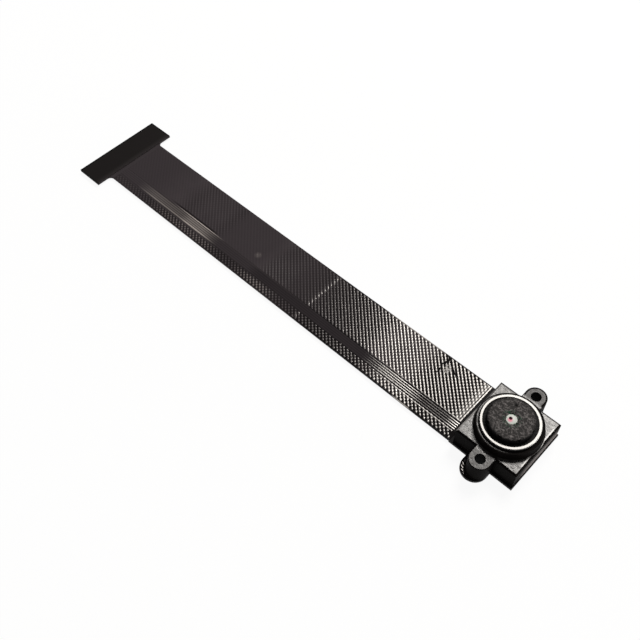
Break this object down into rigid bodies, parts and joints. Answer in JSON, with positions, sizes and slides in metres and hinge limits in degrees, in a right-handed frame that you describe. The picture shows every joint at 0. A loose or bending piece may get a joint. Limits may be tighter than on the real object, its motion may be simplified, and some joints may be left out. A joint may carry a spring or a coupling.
{
  "type": "camera module",
  "caption": "Square lens holder with screw ears and a threaded lens, at one end of a long black film circuit with a wide connector end.",
  "frame": {"origin": "on the lens axis, at the underside of the stiffener plate under the camera", "axes": "+Z along the lens axis, the way the lens looks; +X along the ribbon to the contacts; +Y across it, on the side of the trace strip"},
  "size_m": [0.0695, 0.0126, 0.0047],
  "materials": {
    "cover_film": "black polyimide cover film, satin, with the copper lines showing in relief",
    "moulded_black": "black glass-filled moulding, satin top faces",
    "lens_black": "matte black, fine grain",
    "bright_metal": "bright turned aluminium",
    "optical_glass": "clear, coated",
    "filter_glass": "infrared filter coating",
    "gold_contacts": "gold plated copper",
    "stiffener_black": "matte black stiffener",
    "adhesive": "cured black epoxy",
    "silicon": "sensor package",
    "solder": "reflowed solder",
    "chip_ceramic": "small chip parts"
  },
  "bodies": {
    "root": {"flex_cable": "cover_film", "shield_lines_left": "cover_film", "shield_lines_right": "cover_film", "shield_border": "cover_film", "signal_traces": "cover_film", "contact_fingers": "gold_contacts", "finger_stiffener": "stiffener_black", "camera_stiffener": "stiffener_black", "holder_bond": "adhesive", "lens_holder": "moulded_black", "lens_barrel": "lens_black", "trim_ring": "bright_metal", "front_lens": "optical_glass", "aperture_stop": "lens_black", "middle_lens": "optical_glass", "lens_spacer": "lens_black", "rear_lens": "optical_glass", "lens_retainer": "lens_black", "ir_filter": "filter_glass", "sensor_glass": "optical_glass", "image_sensor": "silicon", "solder_balls": "solder", "capacitors": "chip_ceramic", "resistors": "chip_ceramic"}
  },
  "joints": []
}
